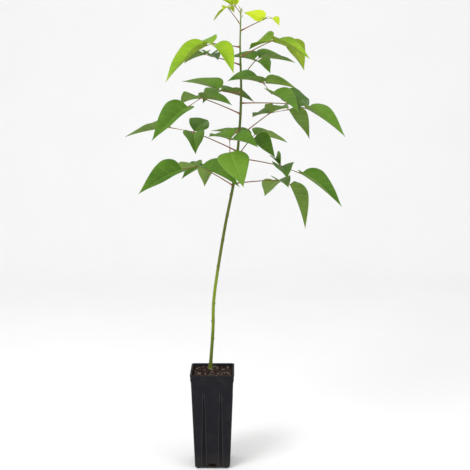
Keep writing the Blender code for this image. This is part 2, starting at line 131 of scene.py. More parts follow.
# %% [markdown]
# ## The leaf table
# First line of a leaf: where its stalk leaves the stem, the stalk's azimuth, rise and
# length, then the turn, pitch and length of the rachis that carries the end blade.
# Blade lines (end, left, right): turn from the stalk's azimuth, pitch from base to tip,
# roll and length, then the fold and the droop where they differ. Angles are in degrees,
# and an azimuth runs anticlockwise from +X seen from above.
#
# The angles began as points read on the photograph. A sum outside this script turned
# them into directions through the camera, with a guessed length for each blade, and
# they were then rounded and changed by hand against renders.

# %% The leaves, from the lowest to the top of the shoot
Blade = namedtuple("Blade", "turn pitch roll length fold droop", defaults=(FOLD, DROOP))
Leaf = namedtuple("Leaf", "height azimuth rise stalk rachis tip left right age")
LEAVES = (
    Leaf(0.592, 126, 15, 0.094, (-40, -20, 0.010), Blade(-27, -38, 0, 0.078),
         Blade(106, -17, 0, 0.080), Blade(-81, -26, 0, 0.075), "grown"),
    Leaf(0.580, 228, 24, 0.103, (-12, -8, 0.038), Blade(-10, -23, -25, 0.105),
         Blade(90, -18, 10, 0.105), Blade(-100, -12, 0, 0.080), "grown"),
    Leaf(0.584, 28, 2, 0.098, (8, -17, 0.035), Blade(-18, -70, 0, 0.101, 60),
         Blade(80, -28, 0, 0.080, 30), Blade(-105, -6, 0, 0.075), "grown"),
    Leaf(0.635, 321, -6, 0.104, (9, -17, 0.045), Blade(0, -32, 0, 0.108),
         Blade(134, 5, -25, 0.078, 76), Blade(-46, -12, 0, 0.078), "grown"),
    Leaf(0.637, 67, 25, 0.085, (10, 10, 0.027), Blade(-33, -12, 10, 0.090),
         Blade(98, 8, 0, 0.085), Blade(-122, -27, 20, 0.082), "grown"),
    Leaf(0.648, 155, 21, 0.102, (13, 10, 0.050), Blade(6, -11, -10, 0.105),
         Blade(121, -29, 0, 0.080), Blade(-85, 16, 25, 0.080), "grown"),
    Leaf(0.676, 40, 30, 0.093, (-17, 9, 0.042), Blade(5, -42, 0, 0.092),
         Blade(74, -6, -25, 0.082), Blade(-107, 6, 0, 0.080), "grown"),
    Leaf(0.691, 259, -9, 0.095, (12, -38, 0.038), Blade(30, -38, 12, 0.095, 12),
         Blade(46, -8, 15, 0.085), Blade(-140, 2, -10, 0.080), "grown"),
    Leaf(0.722, 212, 19, 0.090, (8, -29, 0.036), Blade(10, -36, -18, 0.107, 38, 12),
         Blade(103, -10, 0, 0.080), Blade(-92, -7, 0, 0.085), "grown"),
    Leaf(0.743, 335, -1, 0.098, (-3, -14, 0.037), Blade(-14, -31, 5, 0.102),
         Blade(86, 6, 48, 0.090), Blade(-56, -10, 0, 0.080), "grown"),
    Leaf(0.761, 127, 7, 0.062, (-15, 8, 0.018), Blade(16, 11, -10, 0.100),
         Blade(117, -18, 0, 0.080), Blade(-88, -14, 10, 0.085), "grown"),
    Leaf(0.790, 63, 31, 0.074, (5, 18, 0.020), Blade(-34, -5, 15, 0.090),
         Blade(70, 7, -15, 0.078), Blade(-130, -23, 0, 0.070), "grown"),
    Leaf(0.794, 298, -9, 0.083, (4, -36, 0.035), Blade(4, -22, 0, 0.095),
         Blade(45, -10, 0, 0.060, 70), Blade(-75, 0, -18, 0.085, 40, 25), "grown"),
    Leaf(0.817, 149, 16, 0.070, (-16, 12, 0.016), Blade(-26, -9, 0, 0.085),
         Blade(135, -10, 0, 0.070), Blade(-60, 5, 0, 0.070), "grown"),
    Leaf(0.832, 14, 27, 0.068, (7, -2, 0.034), Blade(42, -38, 0, 0.086),
         Blade(106, -7, -30, 0.084), Blade(-55, -23, 0, 0.095), "upper"),
    Leaf(0.851, 211, 4, 0.057, (12, -15, 0.018), Blade(-9, -41, -12, 0.109, 42, 25),
         Blade(95, -41, 5, 0.085, 42, 30), Blade(-95, 3, -15, 0.075), "upper"),
    Leaf(0.882, 355, 25, 0.050, (0, 3, 0.012), Blade(-62, -28, 0, 0.038),
         Blade(168, 16, -60, 0.044, 25), Blade(-100, -10, 0, 0.030), "young"),
    Leaf(0.894, 162, 52, 0.039, (-20, -15, 0.006), Blade(-30, -32, -35, 0.042, 28),
         Blade(95, -15, 0, 0.032), Blade(-95, -10, 0, 0.032), "young"),
    Leaf(0.915, 170, 52, 0.014, (0, 15, 0.006), Blade(-25, 25, -12, 0.052, 55),
         Blade(85, 35, 0, 0.025), Blade(-95, 35, 0, 0.025), "young"),
)
print("leaves:", len(LEAVES), "blades:", 3 * len(LEAVES))

# %% [markdown]
# ## Shader sums that read like Python
# A node tree is a sum drawn as boxes. A small class that wraps one output socket lets the
# same sum be written with + and *, and it leaves ordinary nodes behind, so the material
# can still be opened and followed in the shader editor. Colours and vectors go through
# their own nodes, with one method for any of them.

# %% Two helpers for node materials
class Value:
    """One number in a shader: an output socket that takes part in Python sums."""

    def __init__(self, tree, socket):
        self.tree = tree
        self.socket = socket

    def sum(self, operation, *terms):
        node = self.tree.nodes.new("ShaderNodeMath")
        node.operation = operation
        for term, slot in zip(terms, node.inputs):
            if isinstance(term, Value):
                self.tree.links.new(term.socket, slot)
            else:
                slot.default_value = term
        return Value(self.tree, node.outputs[0])

    def __add__(self, other):
        return self.sum("ADD", self, other)

    def __radd__(self, other):
        return self.sum("ADD", other, self)

    def __sub__(self, other):
        return self.sum("SUBTRACT", self, other)

    def __rsub__(self, other):
        return self.sum("SUBTRACT", other, self)

    def __mul__(self, other):
        return self.sum("MULTIPLY", self, other)

    def __rmul__(self, other):
        return self.sum("MULTIPLY", other, self)

    def __abs__(self):
        return self.sum("ABSOLUTE", self)

    def above(self, low, high):
        """0 under low, 1 over high, and a smooth step between them."""
        node = self.tree.nodes.new("ShaderNodeMapRange")
        node.interpolation_type = "SMOOTHSTEP"
        self.tree.links.new(self.socket, node.inputs["Value"])
        node.inputs["From Min"].default_value = low
        node.inputs["From Max"].default_value = high
        return Value(self.tree, node.outputs["Result"])

    def fraction(self):
        return self.sum("FRACT", self)


class Finish:
    """A material with one Principled shader, built up one node at a time."""

    def __init__(self, name):
        self.material = bpy.data.materials.new(name)
        self.material.use_nodes = True
        self.tree = self.material.node_tree
        self.shader = self.tree.nodes["Principled BSDF"]

    def put(self, slot, value):
        if isinstance(value, Value):
            self.tree.links.new(value.socket, slot)
        else:
            slot.default_value = value

    def node(self, kind, output=0, settings=None, **values):
        """Any node: its type, its settings first, then its sockets by name."""
        made = self.tree.nodes.new(kind)
        for name, value in (settings or {}).items():
            setattr(made, name, value)
        for name, value in values.items():
            self.put(made.inputs[name.replace("_", " ")], value)
        return Value(self.tree, made.outputs[output])

    def place(self):
        return self.node("ShaderNodeTexCoord", "Object")

    def stretched(self, scale):
        return self.node("ShaderNodeMapping", Vector=self.place(), Scale=scale)

    def noise(self, scale, detail=3.0, vector=None):
        where = vector or self.place()
        return self.node("ShaderNodeTexNoise", "Fac", Vector=where, Scale=scale, Detail=detail)

    def mix(self, share, first, second):
        """A colour between two colours."""
        made = self.tree.nodes.new("ShaderNodeMix")
        made.data_type = "RGBA"
        colours = [slot for slot in made.inputs if slot.type == "RGBA"]
        self.put(made.inputs[0], share)
        for slot, colour in zip(colours, (first, second)):
            self.put(slot, colour if isinstance(colour, Value) else (*colour, 1.0))
        return Value(self.tree, next(slot for slot in made.outputs if slot.type == "RGBA"))

    def parts(self, name):
        """The three numbers of a named vector attribute."""
        vector = self.node("ShaderNodeAttribute", "Vector", {"attribute_name": name})
        split = self.tree.nodes.new("ShaderNodeSeparateXYZ")
        self.tree.links.new(vector.socket, split.inputs[0])
        return [Value(self.tree, slot) for slot in split.outputs]

    def height(self):
        split = self.tree.nodes.new("ShaderNodeSeparateXYZ")
        self.tree.links.new(self.place().socket, split.inputs[0])
        return Value(self.tree, split.outputs[2])

    def paint(self, colour, roughness, bump=None, strength=0.4, distance=0.0005):
        self.put(self.shader.inputs["Base Color"], colour)
        self.put(self.shader.inputs["Roughness"], roughness)
        if bump is not None:
            made = self.tree.nodes.new("ShaderNodeBump")
            made.inputs["Strength"].default_value = strength
            made.inputs["Distance"].default_value = distance
            self.put(made.inputs["Height"], bump)
            self.tree.links.new(made.outputs[0], self.shader.inputs["Normal"])
        return self.material


print("helpers ready")

# %% [markdown]
# ## Leaf colours
# A leaf of this tree is satin green above, paler and greyer below, with light veins that
# curve forward to the edge. Each blade carries its own little map: how far along it a
# point lies, how far across, and one number per blade. The veins are drawn from that
# map, so they follow the blade however it is turned and folded.

# %% Leaf materials: upper side and under side for each age
LEAF_TONES = {
    "grown": ((0.048, 0.125, 0.008), (0.116, 0.232, 0.020), (0.105, 0.185, 0.030), (0.175, 0.275, 0.052)),
    "upper": ((0.110, 0.250, 0.004), (0.265, 0.410, 0.010), (0.200, 0.320, 0.020), (0.310, 0.440, 0.036)),
    "young": ((0.330, 0.460, 0.008), (0.540, 0.630, 0.016), (0.360, 0.480, 0.022), (0.520, 0.610, 0.040)),
}
# Where each light line starts to show and where it is full, on the blade's own map
VEIN_LINE, VEIN_FADE, MIDRIB_LINE, EDGE_LINE = (0.43, 0.49), (0.75, 1.0), (0.02, 0.07), (0.965, 1.0)


def leaf_finish(name, dark, light, vein_share, roughness, sheen):
    finish = Finish(name)
    along, across, seed = finish.parts("blade")
    side = abs(across)
    step = ((along - side * VEIN_LEAN) * VEIN_PAIRS + seed).fraction()
    vein = abs(step - 0.5).above(*VEIN_LINE) * (1.0 - side.above(*VEIN_FADE))
    midrib = 1.0 - side.above(*MIDRIB_LINE)
    fine = finish.noise(900.0, 2.0)
    cloud = finish.noise(28.0, 3.0)
    tone = finish.mix((cloud * 0.9 + seed * 0.55 - 0.2).above(0.1, 0.9), dark, light)
    pale = [min(1.0, 1.30 * part + 0.03) for part in light]
    tone = finish.mix(vein * vein_share, tone, pale)
    tone = finish.mix(midrib * (vein_share + 0.25), tone, pale)
    tone = finish.mix(side.above(*EDGE_LINE) * 0.35, tone, pale)
    relief = fine * 0.12 + cloud * 0.3 - vein * 0.7 - midrib * 0.9
    finish.shader.inputs["Specular IOR Level"].default_value = sheen
    return finish.paint(tone, roughness + cloud * 0.12, relief, 0.55, 0.0006)


leaf_materials = {}
for age, (dark, light, under_dark, under_light) in LEAF_TONES.items():
    leaf_materials[age] = (
        leaf_finish(f"{age}_leaf_upper", dark, light, 0.24, 0.42, 0.16),
        leaf_finish(f"{age}_leaf_under", under_dark, under_light, 0.38, 0.55, 0.08),
    )
print("leaf materials:", 2 * len(leaf_materials))

# %% [markdown]
# ## Bark, stalk, pot and soil colours
# The stem is green bark that changes with height: dull near the soil, bright yellow-green
# above it, olive brown where the old leaves fell, and fresh green at the top. Smooth
# steps over the height place those bands. The tones are plain base colours, adjusted by
# comparing renders with the photograph, and noise breaks them up.
# The pot's colour also carries painted shade in its flute hollows and a painted highlight on the ridges
# beside them.

# %% Bark and stalk materials
# From the soil up: height where a band starts to show, height where it is full, its tone
BARK_FOOT = (0.095, 0.125, 0.012)
BARK_BANDS = (
    (0.210, 0.265, (0.102, 0.152, 0.012)),
    (0.270, 0.320, (0.165, 0.235, 0.016)),
    (0.385, 0.430, (0.102, 0.128, 0.018)),
    (0.520, 0.600, (0.080, 0.112, 0.017)),
    (0.780, 0.880, (0.120, 0.185, 0.022)),
)


def bark_finish():
    finish = Finish("green_bark")
    height = finish.height()
    streak = finish.noise(1.0, 4.0, finish.stretched((900.0, 900.0, 70.0)))
    specks = finish.stretched((520.0, 520.0, 240.0))
    pore = 1.0 - finish.node("ShaderNodeTexVoronoi", "Distance", Vector=specks, Scale=1.0).above(0.10, 0.22)
    level = height + (finish.noise(30.0, 2.0) - 0.5) * 0.05
    tone = BARK_FOOT
    for start, full, colour in BARK_BANDS:
        tone = finish.mix(level.above(start, full), tone, colour)
    tone = finish.mix(streak.above(0.45, 0.75) * 0.4, tone, (0.062, 0.060, 0.018))
    tone = finish.mix(pore * 0.4, tone, (0.300, 0.300, 0.120))
    (scar, _, _) = finish.parts("scar")
    tone = finish.mix(scar * 0.75, tone, (0.150, 0.100, 0.055))
    relief = streak * 0.5 + pore * 0.6
    finish.shader.inputs["Specular IOR Level"].default_value = 0.12
    return finish.paint(tone, 0.42 + streak * 0.2, relief, 0.6, 0.0004)


def stalk_finish():
    finish = Finish("red_brown_stalk")
    along, _, seed = finish.parts("stalk")
    streak = finish.noise(260.0, 3.0)
    tone = finish.mix((along + seed * 0.4).above(0.15, 1.0), (0.240, 0.080, 0.045), (0.190, 0.130, 0.030))
    joint = 1.0 - along.above(0.03, 0.10)
    tone = finish.mix(joint * 0.6, tone, (0.120, 0.080, 0.035))
    tone = finish.mix(streak.above(0.5, 0.8) * 0.4, tone, (0.170, 0.070, 0.040))
    finish.shader.inputs["Specular IOR Level"].default_value = 0.15
    return finish.paint(tone, 0.38 + streak * 0.15, streak, 0.3, 0.0003)


BARK, STALK = bark_finish(), stalk_finish()
print("made", BARK.name, "and", STALK.name)

# %% Pot, soil and crumb materials
def pot_finish():
    finish = Finish("black_moulded_plastic")
    grain = finish.noise(1500.0, 2.0)
    dust = finish.noise(60.0, 5.0)
    scuff = finish.noise(1.0, 4.0, finish.stretched((90.0, 90.0, 900.0)))
    tone = finish.mix(dust.above(0.45, 0.75) * 0.5, (0.0070, 0.0068, 0.0098), (0.017, 0.016, 0.019))
    tone = finish.mix(scuff.above(0.66, 0.80) * 0.35, tone, (0.055, 0.050, 0.048))
    (flute_painted_shade, ridge_painted_highlight, _) = finish.parts("relief")
    # Painted shade: the flute hollows are darkened almost to black.
    tone = finish.mix(flute_painted_shade * 0.75, tone, (0.0015, 0.0015, 0.002))
    # Painted highlight on the fine ridges beside the flutes, stronger where dust lies.
    tone = finish.mix(ridge_painted_highlight * (0.45 + dust * 0.5), tone, (0.075, 0.074, 0.082))
    finish.shader.inputs["Specular IOR Level"].default_value = 0.13
    low = 1.0 - finish.height().above(0.000, 0.045)
    tone = finish.mix(low * dust * 0.5, tone, (0.050, 0.040, 0.032))
    return finish.paint(tone, 0.40 + dust * 0.25, grain * 0.6 + dust * 0.4, 0.25, 0.0002)


def crumb_finish(name, dark, light, roughness=0.9):
    finish = Finish(name)
    grain = finish.noise(700.0, 4.0)
    cloud = finish.noise(160.0, 3.0)
    tone = finish.mix((grain * 0.6 + cloud * 0.5).above(0.35, 0.75), dark, light)
    finish.shader.inputs["Specular IOR Level"].default_value = 0.10
    return finish.paint(tone, roughness, grain + cloud, 0.9, 0.0009)


POT = pot_finish()
SOIL = crumb_finish("damp_soil", (0.006, 0.003, 0.002), (0.030, 0.015, 0.009))
CHIP = crumb_finish("bark_chip", (0.012, 0.005, 0.003), (0.062, 0.028, 0.014), 0.8)
FIBRE = crumb_finish("pale_fibre", (0.150, 0.095, 0.050), (0.330, 0.230, 0.130), 0.8)
GRIT = crumb_finish("pale_grit", (0.380, 0.350, 0.300), (0.680, 0.650, 0.590), 0.7)
print("crumb materials:", [made.name for made in (SOIL, CHIP, FIBRE, GRIT)])

# %% [markdown]
# ## Lines, directions and faces
# Two small pieces of mathematics place everything. One draws a smooth curve through the
# stem's table. The other turns an azimuth and a pitch into a direction. The solids
# were made with the same two, which is why the fine meshes land on them. The rest of
# this cell lists faces for the two kinds of mesh used here: stacked rings and grids.

# %% Curves, directions and meshes
def heading(azimuth, pitch):
    around, up = math.radians(azimuth), math.radians(pitch)
    return Vector((math.cos(around) * math.cos(up), math.sin(around) * math.cos(up), math.sin(up)))


def nearness(value, middle, span):
    """1 at the middle, falling smoothly to almost nothing two spans away from it."""
    return math.exp(-((value - middle) / span) ** 2)


def smooth_line(table, height):
    """The values beside the heights in the table, along a smooth curve through them."""
    heights = [row[0] for row in table]
    height = min(max(height, heights[0]), heights[-1])
    last = len(table) - 2
    i = max(k for k in range(last + 1) if heights[k] <= height)
    span = heights[i + 1] - heights[i]
    t = (height - heights[i]) / span
    values = []
    for column in range(1, len(table[0])):
        start, end = table[i][column], table[i + 1][column]
        before, after = max(i - 1, 0), min(i + 2, last + 1)
        slope_in = (end - table[before][column]) / (heights[i + 1] - heights[before])
        slope_out = (table[after][column] - start) / (heights[after] - heights[i])
        values.append(
            (2 * t**3 - 3 * t**2 + 1) * start + (t**3 - 2 * t**2 + t) * span * slope_in
            + (3 * t**2 - 2 * t**3) * end + (t**3 - t**2) * span * slope_out
        )
    return values


def stem_centre(height):
    x, y = smooth_line(STEM_LINE, height)
    return Vector((x, y, height))


def new_piece(name, points, faces, materials, slots=None, facts=None):
    """A closed, smooth object. facts are named vectors, one for each point."""
    mesh = bpy.data.meshes.new(name)
    mesh.from_pydata([tuple(p) for p in points], [], faces)
    for key, values in (facts or {}).items():
        layer = mesh.attributes.new(key, "FLOAT_VECTOR", "POINT")
        layer.data.foreach_set("vector", np.array(values, np.float32).ravel())
    for made in materials:
        mesh.materials.append(made)
    if slots is not None:
        mesh.polygons.foreach_set("material_index", slots)
    mesh.polygons.foreach_set("use_smooth", [True] * len(mesh.polygons))
    shell = bmesh.new()
    shell.from_mesh(mesh)
    bmesh.ops.recalc_face_normals(shell, faces=shell.faces)
    shell.to_mesh(mesh)
    shell.free()
    piece = bpy.data.objects.new(name, mesh)
    bpy.context.scene.collection.objects.link(piece)
    return piece


def ring_faces(rings, sides):
    """Faces of rings laid one on the next, closed at both ends."""
    faces = []
    for i in range(rings - 1):
        for k in range(sides):
            a, b = i * sides + k, i * sides + (k + 1) % sides
            faces.append((a, b, b + sides, a + sides))
    faces.append(tuple(reversed(range(sides))))
    faces.append(tuple(range((rings - 1) * sides, rings * sides)))
    return faces


def grid_faces(rows, columns, margin=0):
    """Faces of a grid of rows and columns of squares, less a margin of them all round."""
    wide = columns + 1
    return [(j * wide + i, j * wide + i + 1, (j + 1) * wide + i + 1, (j + 1) * wide + i)
            for j in range(margin, rows - margin) for i in range(margin, columns - margin)]


def grid_rim(rows, columns):
    """The points round a grid's edge, in order."""
    wide = columns + 1
    rim = list(range(wide)) + [j * wide + columns for j in range(1, rows + 1)]
    rim += [rows * wide + i for i in range(columns - 1, -1, -1)]
    return rim + [j * wide for j in range(rows - 1, 0, -1)]


def tube(centres, radii, sides):
    """Points and faces of a closed tube. A radius may be a function of the turn."""
    points, side = [], None
    for i, centre in enumerate(centres):
        along = (centres[min(i + 1, len(centres) - 1)] - centres[max(i - 1, 0)]).normalized()
        side = along.orthogonal().normalized() if side is None else side
        side = (side - along * side.dot(along)).normalized()
        other = along.cross(side)
        for k in range(sides):
            turn = 2.0 * math.pi * k / sides
            out = math.cos(turn) * side + math.sin(turn) * other
            radius = radii[i](out) if callable(radii[i]) else radii[i]
            points.append(centre + radius * out)
    return points, ring_faces(len(centres), sides)


print("stem top at", [round(v, 4) for v in stem_centre(STEM_LINE[-1][0])])

# %% [markdown]
# ## The stem
# On the real plant the stem thickens a little at every joint, and below the leaves it
# keeps a crescent scar where each old leaf fell. A fine tube with a radius that
# depends on height and on the direction round the stem gives both. A modelled bulge
# catches the light at the edge of the stem, which a painted one can't.

# %% Build the stem with its joints and leaf scars
STEM_RINGS, STEM_SIDES = 620, 20
JOINT_SWELL, JOINT_SPAN = 0.00045, 0.0035
SCAR_SWELL, SCAR_SPAN = 0.00095, 0.0024
STEM_FOOT_DEPTH, THIN_STEM, BARK_UNEVEN = 0.0015, 0.002, 0.035
joints = [(leaf.height, leaf.azimuth, JOINT_SWELL, JOINT_SPAN) for leaf in LEAVES]
joints += [(height, azimuth, SCAR_SWELL, SCAR_SPAN) for height, azimuth in SCARS]


def stem_radius(height, out):
    flare = ROOT_FLARE * math.exp(-(height - SOIL_STEM_HEIGHT) / ROOT_FLARE_HEIGHT)
    radius = smooth_line(STEM_RADII, height)[0] + flare
    for level, azimuth, swell, span in joints:
        if abs(height - level) < 3.0 * span:
            near = nearness(height, level, span)
            facing = max(0.0, out.dot(heading(azimuth, 0)))
            radius += min(1.0, radius / THIN_STEM) * swell * near * (0.35 + 0.65 * facing**2)
    rough = noise.noise(Vector((out.x * 2.0, out.y * 2.0, height * 90.0)))
    return radius * (1.0 + BARK_UNEVEN * rough)


low, high = SOIL_STEM_HEIGHT - STEM_FOOT_DEPTH, STEM_LINE[-1][0]
levels = [low + (high - low) * k / (STEM_RINGS - 1) for k in range(STEM_RINGS)]
radii = [lambda out, level=level: stem_radius(max(level, SOIL_STEM_HEIGHT), out) for level in levels]
centres = [stem_centre(level) + Vector((0, 0, min(0.0, level - STEM_LINE[0][0]))) for level in levels]
points, faces = tube(centres, radii, STEM_SIDES)
scars = []
for point in points:
    near = 0.0
    for height, azimuth in SCARS:
        out = (point - stem_centre(height)) * Vector((1, 1, 0))
        facing = max(0.0, out.normalized().dot(heading(azimuth, 0)))
        near = max(near, facing**2 * nearness(point.z, height, 0.6 * SCAR_SPAN))
    scars.append((near, 0.0, 0.0))
stem = new_piece("stem_bark", points, faces, [BARK], facts={"scar": scars})
print("stem faces:", len(stem.data.polygons))

# %% [markdown]
# ## Leaf stalks
# Each stalk is a thin arched tube with a swollen joint at its foot, where the leaf can
# turn to the light. The colour runs from pink brown to olive along it, so the tube
# carries its own distance as an attribute.

# %% Build the nineteen stalks
STALK_STEPS, STALK_SIDES = 26, 10
# Swellings at both ends: the distance from that end, the span and the height
FOOT_PLACE, FOOT_SPAN, FOOT_SWELL = 0.005, 0.004, 0.00045
HEAD_PLACE, HEAD_SPAN, HEAD_SWELL = 0.001, 0.003, 0.00030


def stalk_end(leaf):
    start = stem_centre(leaf.height)
    end = start + leaf.stalk * heading(leaf.azimuth, leaf.rise)
    way = (end - start).normalized() - Vector((0.0, 0.0, 4.0 * STALK_ARCH))
    return end, way.normalized()


def build_stalk(number, leaf):
    start, (end, way) = stem_centre(leaf.height), stalk_end(leaf)
    slim = min(1.0, STALK_SLIMMEST + leaf.stalk / STALK_FULL_LENGTH)
    centres, radii, facts = [], [], []
    for k in range(STALK_STEPS + 1):
        share = k / STALK_STEPS
        rise = 4.0 * STALK_ARCH * leaf.stalk * share * (1.0 - share)
        centres.append(start.lerp(end, share) + Vector((0.0, 0.0, rise)))
        radius = STALK_BASE_RADIUS + (STALK_TIP_RADIUS - STALK_BASE_RADIUS) * share**0.7
        foot = FOOT_SWELL * nearness(share * leaf.stalk, FOOT_PLACE, FOOT_SPAN)
        head = HEAD_SWELL * nearness((1.0 - share) * leaf.stalk, HEAD_PLACE, HEAD_SPAN)
        radii.append(slim * (radius + foot + head))
        facts += [(share, 0.0, (number * 0.37) % 1.0)] * STALK_SIDES
    points, faces = tube(centres, radii, STALK_SIDES)
    stalk = new_piece(f"leaf_stalk_{number:02d}", points, faces, [STALK], facts={"stalk": facts})
    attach(stalk, "root")
    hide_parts(f"stalk_{number:02d}")
    return stalk


stalks = [build_stalk(number, leaf) for number, leaf in enumerate(LEAVES, start=1)]
print("stalks:", len(stalks), "faces in each:", len(stalks[0].data.polygons))

# %% [markdown]
# ## Blades
# A blade is a thin closed shell on a small grid of rows and columns. It is folded up along
# its midrib, it droops to its long tip, its edge waves a little and it puffs up between
# the side veins. The two skins of the shell carry different materials, because the
# under side of this leaf is paler. One function makes every blade, so each differs only
# by its line in the table and by its own seed.

# %% The shape of one blade
def half_width(share):
    """Half the width as a share of the widest, with a round base and a long tip."""
    if share < BLADE_WIDEST:
        return (1.0 - (1.0 - share / BLADE_WIDEST) ** 2) ** 0.36
    on = (share - BLADE_WIDEST) / (1.0 - BLADE_WIDEST)
    return max(0.0, 1.0 - on**BLADE_FLANK) ** BLADE_TIP


def blade_frames(blade, azimuth, start, shares):
    """Point, direction, side and up of the midrib at each share of the blade's length."""
    frames = []
    point, before = start.copy(), 0.0
    roll = math.radians(blade.roll)
    for share in shares:
        middle = blade.pitch + blade.droop * (0.5 - 0.5 * (share + before))
        point = point + heading(azimuth, middle) * (blade.length * (share - before))
        before = share
        pitch = blade.pitch + blade.droop * (0.5 - share)
        along, up = heading(azimuth, pitch), heading(azimuth, pitch + 90.0)
        side = along.cross(up)
        frames.append((point, along, math.cos(roll) * side - math.sin(roll) * up,
                       math.cos(roll) * up + math.sin(roll) * side))
    return frames


def blade_shell(blade, azimuth, start, seed):
    """Points, faces, slots and map of one blade."""
    dice = random.Random(seed)
    phase, number = dice.uniform(0.0, 6.28), dice.random()
    rows = [(k / BLADE_ROWS) ** 1.15 for k in range(BLADE_ROWS + 1)]
    columns = [2.0 * k / BLADE_COLUMNS - 1.0 for k in range(BLADE_COLUMNS + 1)]
    widest = 0.5 * BLADE_WIDTH_RATIO * blade.length
    wave = EDGE_WAVE * blade.length
    skins, facts = ([], []), []
    for share, (point, along, side, up) in zip(rows, blade_frames(blade, azimuth, start, rows)):
        width = half_width(share)
        for across in columns:
            spread, hand = abs(across), math.copysign(1.0, across)
            fold = math.radians(blade.fold) if spread else 0.0
            lift = math.radians(blade.fold - BLADE_CUP * spread)
            reach = spread * widest * width
            sweep = spread * width * blade.length * (VEIN_SWEEP * math.sqrt(share) - BASE_LOBE)
            normal = math.cos(fold) * up - math.sin(fold) * hand * side
            ripple = wave * spread**2 * width * math.sin(EDGE_WAVES * share + phase + 1.3 * hand)
            vein = math.cos(2.0 * math.pi * ((share - VEIN_LEAN * spread) * VEIN_PAIRS + number))
            puff = -VEIN_PUFF * vein * math.sin(math.pi * min(1.0, spread * 1.02)) * width
            place = point + reach * (math.cos(lift) * hand * side + math.sin(lift) * up) + sweep * along
            place = place + (ripple + puff) * normal
            thick = 0.5 * BLADE_THICKNESS
            rib = MIDRIB_DEPTH * nearness(reach, 0.0, MIDRIB_WIDTH) * (1.0 - 0.8 * share)
            skins[0].append(place + thick * normal)
            skins[1].append(place - (thick + rib) * normal)
            facts.append((share, across, number))
    count, faces = len(facts), grid_faces(BLADE_ROWS, BLADE_COLUMNS)
    slots = [0] * len(faces) + [1] * len(faces)
    faces += [tuple(count + v for v in reversed(face)) for face in faces]
    rim = grid_rim(BLADE_ROWS, BLADE_COLUMNS)
    for a, b in zip(rim, rim[1:] + rim[:1]):
        faces.append((b, a, count + a, count + b))
        slots.append(0)
    return skins[0] + skins[1], faces, slots, facts + facts


trial = blade_shell(LEAVES[0].tip, 0.0, Vector(), 1)
print("points in a blade:", len(trial[0]), "faces:", len(trial[1]))

# %% [markdown]
# ## Whole leaves
# Three blades sit on short swollen stalks around the end of the leaf stalk, and the end
# blade stands further out on the rachis. They are gathered into one mesh per leaf, with
# three material slots: upper skin, under skin and stalk. One mesh for each leaf keeps the
# file light to handle and still lets a leaf be picked on its own.

# %% Build the nineteen leaves
STALKLET_SIDES, RACHIS_END, STALKLET_END = 10, 0.003, 0.004
STALKLET_SHADE = 0.7


def build_leaf(number, leaf):
    end, way = stalk_end(leaf)
    start = end - SEAT_GAP * way
    hub = end + (SEAT_GAP + HUB_LENGTH) * way
    turn, pitch, length = leaf.rachis
    rachis = heading(leaf.azimuth + turn, pitch)
    size = min(1.0, leaf.tip.length / FULL_BLADE_LENGTH)
    points, faces, slots, facts, places = [], [], [], [], []

    def add(part, slot=None):
        offset = len(points)
        points.extend(part[0])
        faces.extend(tuple(offset + v for v in face) for face in part[1])
        slots.extend(part[2] if slot is None else [slot] * len(part[1]))
        facts.extend(part[3] if slot is None else [(0.0, 0.0, 0.0)] * len(part[0]))
        places.extend([(STALKLET_SHADE, 0.0, 0.0)] * len(part[0]))

    thin, thick = size * STALKLET_RADIUS, size * HUB_RADIUS
    tip_start = hub + length * rachis
    line = [start, hub, hub + 0.25 * length * rachis, hub + 0.6 * length * rachis, tip_start]
    line.append(tip_start + RACHIS_END * rachis)
    radii = [0.8 * thick, thick, 0.75 * thin, 0.7 * thin, 1.25 * thin, 0.8 * thin]
    add(tube(line, radii, STALKLET_SIDES), 2)
    for k, blade in enumerate((leaf.tip, leaf.left, leaf.right)):
        azimuth = leaf.azimuth + blade.turn
        base = tip_start
        if k:
            way_out = heading(azimuth, blade.pitch)
            base = hub + size * STALKLET_LENGTH * way_out
            middle = hub + 0.5 * size * STALKLET_LENGTH * way_out
            line = [hub, middle, base, base + STALKLET_END * size * way_out]
            add(tube(line, [0.9 * thin, 1.25 * thin, thin, 0.5 * thin], STALKLET_SIDES), 2)
        add(blade_shell(blade, azimuth, base, 100 * number + k))
    skins = [*leaf_materials[leaf.age], STALK]
    maps = {"blade": facts, "stalk": places}
    piece = new_piece(f"leaf_blades_{number:02d}", points, faces, skins, slots, maps)
    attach(piece, "root")
    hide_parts(f"leaf_{number:02d}")
    return piece


leaves = [build_leaf(number, leaf) for number, leaf in enumerate(LEAVES, start=1)]
print("faces in all leaves:", sum(len(leaf.data.polygons) for leaf in leaves))

# %% [markdown]
# ## Buds
# Where each young stalk meets the stem sits a pair of small pale scales, and the shoot
# ends in a bud. They are only a millimetre or two long, but they make the joints near
# the top look alive instead of glued.

# %% Build the pale bud scales near the top
BUD_LENGTH, BUD_RADIUS, BUDDING_LEAVES = 0.0042, 0.0009, 9
BUD_SPREAD, BUD_RISE, BUD_TIP_RISE = 55, 58, 80
# Scales at the shoot's tip: height on the stem, azimuth and length
TIP_SCALES = ((0.906, 20, 0.009), (0.908, 250, 0.010), (0.916, 320, 0.010),
              (0.921, 60, 0.009), (0.922, 210, 0.011))
bud_points, bud_faces = [], []


def add_scale(height, azimuth, length):
    """One pointed scale that stands out of the stem and bends up."""
    foot = stem_centre(height) + 0.6 * smooth_line(STEM_RADII, height)[0] * heading(azimuth, 0)
    way, bend = heading(azimuth, BUD_RISE), heading(azimuth, BUD_TIP_RISE)
    line = [foot, foot + 0.3 * length * way, foot + 0.7 * length * way]
    line.append(line[-1] + 0.3 * length * bend)
    points, faces = tube(line, [0.6 * BUD_RADIUS, BUD_RADIUS, 0.7 * BUD_RADIUS, 0.1 * BUD_RADIUS], 8)
    bud_faces.extend(tuple(len(bud_points) + v for v in face) for face in faces)
    bud_points.extend(points)


